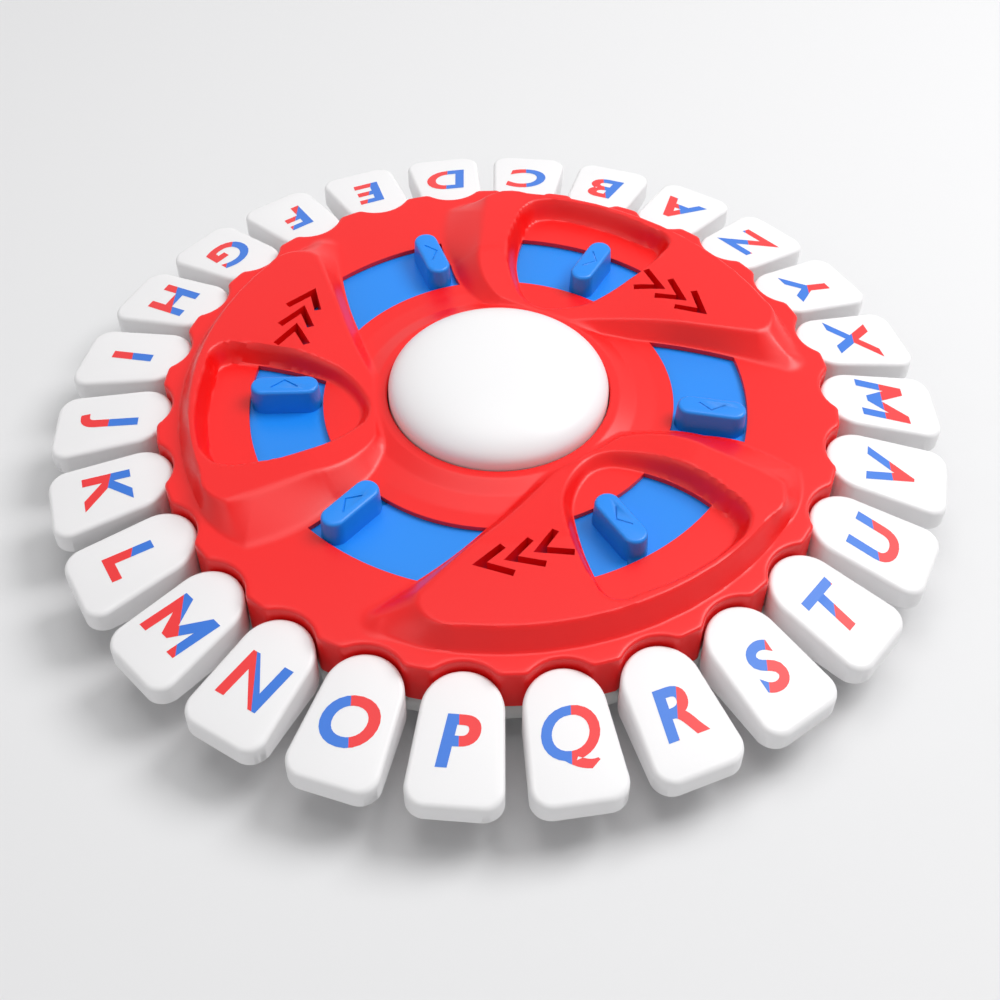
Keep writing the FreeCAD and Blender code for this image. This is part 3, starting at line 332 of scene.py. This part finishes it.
foot, top, floor = (arcs(points) for points in (PETAL_FOOT, PETAL_TOP, POCKET_FLOOR))
away = floor - floor.mean(axis=0)
brim = floor + POCKET_ROLL * away / np.linalg.norm(away, axis=1)[:, None]


def distance(points, line):
    """How far each plan point lies from a closed line, and whether it is inside."""
    near = np.full(len(points), np.inf)
    inside = np.zeros(len(points), bool)
    for start, end in zip(line, np.roll(line, -1, axis=0)):
        run = end - start
        share = np.clip((points - start) @ run / (run @ run), 0, 1)
        near = np.minimum(near, np.linalg.norm(points - start - share[:, None] * run, axis=1))
        crosses = (start[1] > points[:, 1]) != (end[1] > points[:, 1])
        with np.errstate(divide="ignore", invalid="ignore"):
            meets = start[0] + (points[:, 1] - start[1]) * run[0] / run[1]
        inside ^= crosses & (points[:, 0] < meets)
    return near, inside


def between(points, outer, inner):
    """0 outside the outer line, 1 inside the inner one, and the share of the way between."""
    far, in_outer = distance(points, outer)
    near, in_inner = distance(points, inner)
    return np.where(in_inner, 1.0, np.where(in_outer, far / (far + near + TINY), 0.0))


def wall(share):
    """The rise of a moulded wall from 0 to 1: straight, with a small round at each end."""
    straight = np.clip(share, WALL_ROUND, 1 - WALL_ROUND) - WALL_ROUND / 2
    low = np.minimum(share, WALL_ROUND) ** 2 / (2 * WALL_ROUND) - WALL_ROUND / 2
    high = WALL_ROUND / 2 - np.minimum(1 - share, WALL_ROUND) ** 2 / (2 * WALL_ROUND)
    return (straight + low + high) / (1 - WALL_ROUND)


# The rim beside a key, with the key along +X: the cusp's arc leaves the rim at the angle
# LEAN, meets the bite's arc at JOINT, and MEETING is the way from its centre to that point.
REACH = RIM - CUSP
SPREAD = (REACH ** 2 + BITE_CENTRE ** 2 - (BITE_RADIUS + CUSP) ** 2) / (2 * BITE_CENTRE)
CUSP_CENTRE = np.array([SPREAD, math.sqrt(REACH ** 2 - SPREAD ** 2)])
LEAN = math.atan2(CUSP_CENTRE[1], CUSP_CENTRE[0])
MEETING = math.atan2(-CUSP_CENTRE[1], BITE_CENTRE - CUSP_CENTRE[0])
JOINT = CUSP_CENTRE + CUSP * np.array([math.cos(MEETING), math.sin(MEETING)])


def from_key(angles):
    """How far angles lie from the middle of the nearest key, in radians."""
    return np.radians(np.abs((angles - FIRST_KEY + PITCH / 2) % PITCH - PITCH / 2))


def rim_reach(angles):
    """The radius of the scalloped rim: a bite at each key, with rounded cusps between."""
    turn = from_key(angles)
    across = BITE_CENTRE * np.sin(turn)
    bite = BITE_CENTRE * np.cos(turn) - np.sqrt(np.maximum(BITE_RADIUS ** 2 - across ** 2, 0))
    lean = turn - LEAN
    cusp = REACH * np.cos(lean) + np.sqrt(np.maximum(CUSP ** 2 - (REACH * np.sin(lean)) ** 2, 0))
    beside_bite = turn < math.atan2(JOINT[1], JOINT[0])
    return np.where(beside_bite, bite, np.where(lean < 0, cusp, RIM))


def edge_distance(radius, angles):
    """How far plan points of the cover lie inside its scalloped rim."""
    turn = from_key(angles)
    x, y = radius * np.cos(turn), radius * np.sin(turn)
    aside = np.arctan2(y - CUSP_CENTRE[1], x - CUSP_CENTRE[0])
    cusp = CUSP - np.hypot(x - CUSP_CENTRE[0], y - CUSP_CENTRE[1])
    bite = np.hypot(x - BITE_CENTRE, y) - BITE_RADIUS
    return np.where((aside > MEETING) & (aside < LEAN), cusp, np.minimum(bite, RIM - radius))


def cover_height(radius, angles):
    """The height of the cover's outer skin over plan points."""
    turn = np.radians((angles - PETAL_START) % THIRD + PETAL_START)
    plan = np.stack([radius * np.cos(turn), radius * np.sin(turn)], axis=1)
    deck = np.interp(radius, *np.transpose(DECK_PROFILE))
    lid = np.maximum(np.interp(radius, *np.transpose(LID_PROFILE)), deck)
    height = deck + (lid - deck) * wall(between(plan, foot, top))
    sunk = np.sin(math.pi / 2 * between(plan, brim, floor) ** POCKET_FULLNESS)
    height = height + (DECK - height) * sunk
    edge = RIM_EDGE - np.clip(edge_distance(radius, angles), 0, RIM_EDGE)
    return height - RIM_EDGE + np.sqrt(RIM_EDGE ** 2 - edge ** 2)


def cover_blank():
    """The cover as a closed solid before its windows and slots are cut."""
    angles = FIRST_KEY + np.arange(SPOKES) * 360.0 / SPOKES
    outer = rim_reach(angles)
    rings = [np.full(SPOKES, radius) for radius in np.linspace(HUB_BORE, LAST_RING, STEADY_RINGS)]
    rings += [LAST_RING + (outer - LAST_RING) * share for share in EDGE_ROWS]
    heights = [cover_height(ring, angles) for ring in rings]
    for radius, height in ((outer, RIM_BOTTOM), (RIM_INNER, RIM_BOTTOM),
                           (RIM_INNER, DECK_UNDER), (HUB_BORE, DECK_UNDER)):
        rings.append(np.full(SPOKES, radius))
        heights.append(np.full(SPOKES, height))
    reach, height = np.concatenate(rings), np.concatenate(heights)
    turns = np.radians(np.tile(angles, len(rings)))
    verts = np.stack([reach * np.cos(turns), reach * np.sin(turns), height], axis=1) * MM
    faces = []
    for ring in range(len(rings)):
        above = (ring + 1) % len(rings)
        for spoke in range(SPOKES):
            after = (spoke + 1) % SPOKES
            faces.append((ring * SPOKES + spoke, above * SPOKES + spoke,
                          above * SPOKES + after, ring * SPOKES + after))
    mesh = bpy.data.meshes.new("cover_blank")
    mesh.from_pydata(verts.tolist(), [], faces)
    mesh.validate()
    return mesh


# The cutters: prisms over the outlines of the windows and of the chevrons, which all reach
# through the cover. The turning ring's marks are cut with the same functions.
CUT_LOW, CUT_HIGH = DECK_UNDER - 2, CREST + 8
TRACK_INNER, TRACK_OUTER, TRACK_POINTS = 48.8, 69.2, 12
TRACK = np.linspace(TRACK_INNER, TRACK_OUTER, TRACK_POINTS)
WINDOW_STEPS = 14
# Between which angles the two sides of a petal's foot and of a pocket's floor cross the track.
FOOT_SIDES = ((100, 110), (3, 45))
FLOOR_SIDES = ((50, 64.5), (76, 90))
CHEVRONS = 3
CHEVRON_WIDTH, CHEVRON_FIRST, CHEVRON_PITCH = 2.0, 26.1, 6.9
CHEVRON_TIP, CHEVRON_DRIFT = 65.6, 1.9
# The two strokes of a chevron end at a share of the tip's radius and an angle from the tip.
CHEVRON_ARMS = ((1.045, 7.4), (0.910, 5.2))


def prism(bm, plan, low, high):
    """A closed prism over a plan outline."""
    base = [bm.verts.new((spot.x * MM, spot.y * MM, low * MM)) for spot in plan]
    roof = [bm.verts.new((spot.x * MM, spot.y * MM, high * MM)) for spot in plan]
    bm.faces.new(base[::-1])
    bm.faces.new(roof)
    for index in range(len(base)):
        after = (index + 1) % len(base)
        bm.faces.new((base[index], base[after], roof[after], roof[index]))


def flank(line, low, high):
    """The angles at which an outline passes the track's radii, on its side between two angles."""
    reach = np.linalg.norm(line, axis=1)
    angle = np.degrees(np.arctan2(line[:, 1], line[:, 0]))
    kept = sorted((r, a) for r, a in zip(reach, angle) if low < a < high)
    return np.interp(TRACK, *np.transpose(kept))


def window(bm, start, end):
    """A window over the track between two side lines, in each third of the cover."""
    outer = np.linspace(start[-1], end[-1], WINDOW_STEPS)[1:-1]
    inner = np.linspace(end[0], start[0], WINDOW_STEPS)[1:-1]
    spots = list(zip(TRACK, start)) + [(TRACK[-1], angle) for angle in outer]
    spots += list(zip(TRACK[::-1], end[::-1])) + [(TRACK[0], angle) for angle in inner]
    for third in THIRDS:
        prism(bm, [around(r, a + third) for r, a in spots], CUT_LOW, CUT_HIGH)


def bent(tip, ends, width):
    """The outline of a stroke that runs from one end over a sharp tip to the other end."""
    arms = [(end - tip).normalized() for end in ends]
    lean = (arms[0] + arms[1]).normalized()
    across = lean.dot(arms[0])
    corner = lean * width / 2 / math.sqrt(1 - across ** 2)
    away = [(arm * across - lean).normalized() * width / 2 for arm in arms]
    return [tip - corner, ends[0] + away[0], ends[0] - away[0],
            tip + corner, ends[1] - away[1], ends[1] + away[1]]


def carved(mesh, cutter):
    """A mesh after a solid cutter has been taken out of it."""
    bmesh.ops.recalc_face_normals(cutter, faces=cutter.faces)
    item = bpy.data.objects.new("carved", mesh)
    tool = bpy.data.objects.new("cutter", finished("cutter", cutter))
    for part in (item, tool):
        bpy.context.scene.collection.objects.link(part)
    step = item.modifiers.new("cut", "BOOLEAN")
    step.operation = "DIFFERENCE"
    step.solver = "MANIFOLD"
    step.object = tool
    bpy.context.view_layer.update()
    shown = item.evaluated_get(bpy.context.evaluated_depsgraph_get())
    result = bpy.data.meshes.new_from_object(shown)
    for part in (item, tool):
        bpy.data.objects.remove(part)
    return result


cuts = bmesh.new()
window(cuts, flank(foot, *FOOT_SIDES[0]) - THIRD, flank(foot, *FOOT_SIDES[1]))
window(cuts, flank(floor, *FLOOR_SIDES[0]), flank(floor, *FLOOR_SIDES[1]))
for row in range(CHEVRONS):
    radius = CHEVRON_TIP - CHEVRON_DRIFT * row
    for third in THIRDS:
        angle = CHEVRON_FIRST + CHEVRON_PITCH * row + third
        ends = [around(radius * share, angle + turn) for share, turn in CHEVRON_ARMS]
        prism(cuts, bent(around(radius, angle), ends, CHEVRON_WIDTH), CUT_LOW, CUT_HIGH)
piece("cover", carved(cover_blank(), cuts), [RED], "housing", ["top_cover"])

# The turning ring: a flat ring in glossy blue plastic under the cover, with six handles that
# stand up through the windows. Each handle has rounded edges and a shallow arrow in its top.
HANDLE_TOP, HANDLE_EDGE = 34.0, 0.9
# Above this height a point of the ring belongs to a handle's top.
TOP_LEVEL = HANDLE_TOP - 0.1
HANDLE_FIRST, HANDLE_STEPS = -9.9, (0.0, 72.0)
MARK_DEPTH, MARK_WIDTH = 0.20, 0.5
MARK_LOW, MARK_HIGH = HANDLE_TOP - MARK_DEPTH, HANDLE_TOP + 1
# The arrow's tip and the ends of its two arms, as radii and angles from the handle's middle.
MARK_TIP, MARK_TIP_TURN = 59.0, -1.5
MARK_ENDS, MARK_END_TURN = (55.4, 62.6), 1.0

ring = solid_form("reset_ring")
rounded(ring, HANDLE_EDGE, lambda vert: vert.co.z > TOP_LEVEL * MM)
marks = bmesh.new()
for third in THIRDS:
    for step in HANDLE_STEPS:
        angle = HANDLE_FIRST + third + step
        ends = [around(reach, angle + MARK_END_TURN) for reach in MARK_ENDS]
        tip = around(MARK_TIP, angle + MARK_TIP_TURN)
        prism(marks, bent(tip, ends, MARK_WIDTH), MARK_LOW, MARK_HIGH)
piece("turning_ring", carved(finished("ring_blank", ring), marks), [BLUE], "ring",
      ["reset_ring"])

# The button: a large smooth dome in glossy white plastic that slides down inside the
# cover's collar, with a plain skirt below.
BUTTON_RADIUS, BUTTON_TOP, BUTTON_EDGE, BUTTON_BOTTOM = 30.6, 40.8, 31.0, 22.4
FULLNESS = 2.3
DOME_STEPS, DOME_SPOKES = 16 * FINE, 64 * FINE
DOME_WELD = 0.001
dome = bmesh.new()
profile = [dome.verts.new((BUTTON_RADIUS * MM, 0, BUTTON_BOTTOM * MM))]
for step in range(DOME_STEPS + 1):
    lean = math.pi / 2 * (1 - step / DOME_STEPS)
    reach = BUTTON_RADIUS * math.sin(lean) ** (2 / FULLNESS)
    rise = (BUTTON_TOP - BUTTON_EDGE) * max(math.cos(lean), 0.0) ** (2 / FULLNESS)
    profile.append(dome.verts.new((reach * MM, 0, (BUTTON_EDGE + rise) * MM)))
edges = [dome.edges.new(pair) for pair in zip(profile, profile[1:])]
bmesh.ops.spin(dome, geom=profile + edges, cent=(0, 0, 0), axis=(0, 0, 1), angle=math.tau,
               steps=DOME_SPOKES, use_merge=True)
bmesh.ops.remove_doubles(dome, verts=dome.verts, dist=DOME_WELD * MM)
bmesh.ops.recalc_face_normals(dome, faces=dome.faces)
piece("button", finished("button", dome), [WHITE], "button", ["centre_button"],
      smooth=60.0)

# The base and its battery door: pale grey plastic, in the plain forms of their solids. The
# pieces that no section makes keep the frame's own meshes and finishes.
for node in ("base_shell", "battery_door"):
    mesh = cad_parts[node].data
    mesh.materials.clear()
    mesh.materials.append(SHELL)

# The floor: a plain pale surface, wide enough to fill the view. Well away from the board it
# fades to the white of the background, for the eye only.
FLOOR_SIZE = 4.0
FADE_START, FADE_END = 0.5, 1.3


def seen(tree):
    """A socket that is 1 where a ray from the eye arrives, also over a glossy or clear surface."""
    rays = tree.nodes.new("ShaderNodeLightPath")
    largest = rays.outputs["Is Camera Ray"]
    for name in ("Is Glossy Ray", "Is Transmission Ray"):
        larger = tree.nodes.new("ShaderNodeMath")
        larger.operation = "MAXIMUM"
        tree.links.new(largest, larger.inputs[0])
        tree.links.new(rays.outputs[name], larger.inputs[1])
        largest = larger.outputs[0]
    return largest


def fade_to_white(tree):
    """Let a material turn to plain white with the distance from the board."""
    place = tree.nodes.new("ShaderNodeTexCoord")
    length = tree.nodes.new("ShaderNodeVectorMath")
    length.operation = "LENGTH"
    tree.links.new(place.outputs["Object"], length.inputs[0])
    fade = tree.nodes.new("ShaderNodeMapRange")
    fade.interpolation_type = "SMOOTHSTEP"
    fade.inputs["From Min"].default_value = FADE_START
    fade.inputs["From Max"].default_value = FADE_END
    tree.links.new(length.outputs["Value"], fade.inputs["Value"])
    share = tree.nodes.new("ShaderNodeMath")
    share.operation = "MULTIPLY"
    tree.links.new(fade.outputs["Result"], share.inputs[0])
    tree.links.new(seen(tree), share.inputs[1])
    white = tree.nodes.new("ShaderNodeEmission")
    blend = tree.nodes.new("ShaderNodeMixShader")
    tree.links.new(share.outputs[0], blend.inputs[0])
    tree.links.new(tree.nodes["Principled BSDF"].outputs[0], blend.inputs[1])
    tree.links.new(white.outputs[0], blend.inputs[2])
    tree.links.new(blend.outputs[0], tree.nodes["Material Output"].inputs["Surface"])


sheet = bmesh.new()
bmesh.ops.create_grid(sheet, x_segments=1, y_segments=1, size=FLOOR_SIZE)
floor_item = bpy.data.objects.new("floor", finished("floor", sheet))
bpy.context.scene.collection.objects.link(floor_item)
fade_to_white(PAPER.node_tree)
floor_item.data.materials.append(PAPER)

# The light: a large soft lamp above on the right, a second one overhead, a weak one in front
# on the left, and an even sky that lights the board softly and looks white.
SKY_LIGHT = 0.34
# Each lamp's name, place, width and power.
LAMPS = (("key_lamp", (0.62, 0.22, 0.90), 0.6, 7.5),
         ("fill_lamp", (-0.75, -0.65, 0.70), 0.8, 1.3),
         ("top_lamp", (0.0, 0.15, 1.20), 0.9, 4.0))
for name, place, size, power in LAMPS:
    lamp = bpy.data.lights.new(name, "AREA")
    lamp.shape = "DISK"
    lamp.size = size
    lamp.energy = power
    holder = bpy.data.objects.new(name, lamp)
    holder.location = place
    holder.rotation_euler = Vector(place).to_track_quat("Z", "Y").to_euler()
    bpy.context.scene.collection.objects.link(holder)

world = bpy.data.worlds.new("sky")
world.use_nodes = True
tree = world.node_tree
sky = tree.nodes["Background"]
sky.inputs["Color"].default_value = (1.0, 1.0, 1.0, 1.0)
level = tree.nodes.new("ShaderNodeMapRange")
level.inputs["To Min"].default_value = SKY_LIGHT
level.inputs["To Max"].default_value = 1.0
tree.links.new(seen(tree), level.inputs["Value"])
tree.links.new(level.outputs["Result"], sky.inputs["Strength"])
bpy.context.scene.world = world
bpy.context.scene.view_settings.view_transform = "Standard"

# The camera: the photograph's viewpoint, with a slight roll.
CAMERA_PLACE = Vector((0.56, -292.98, 314.55)) * MM
ELEVATION, ROLL = math.radians(48.469), math.radians(0.235)
LENS, SENSOR = 52.65, 36.0
camera = bpy.data.cameras.new("camera")
camera.lens = LENS
camera.sensor_width = SENSOR
camera.clip_start = 0.01
view = bpy.data.objects.new("camera", camera)
forward = Vector((0, math.cos(ELEVATION), -math.sin(ELEVATION)))
upright = Vector((0, math.sin(ELEVATION), math.cos(ELEVATION)))
right = Vector((math.cos(ROLL), 0, 0)) + upright * math.sin(ROLL)
up = upright * math.cos(ROLL) - Vector((math.sin(ROLL), 0, 0))
view.matrix_world = Matrix((
    (right.x, up.x, -forward.x, CAMERA_PLACE.x),
    (right.y, up.y, -forward.y, CAMERA_PLACE.y),
    (right.z, up.z, -forward.z, CAMERA_PLACE.z),
    (0, 0, 0, 1)))
bpy.context.scene.collection.objects.link(view)
bpy.context.scene.camera = view
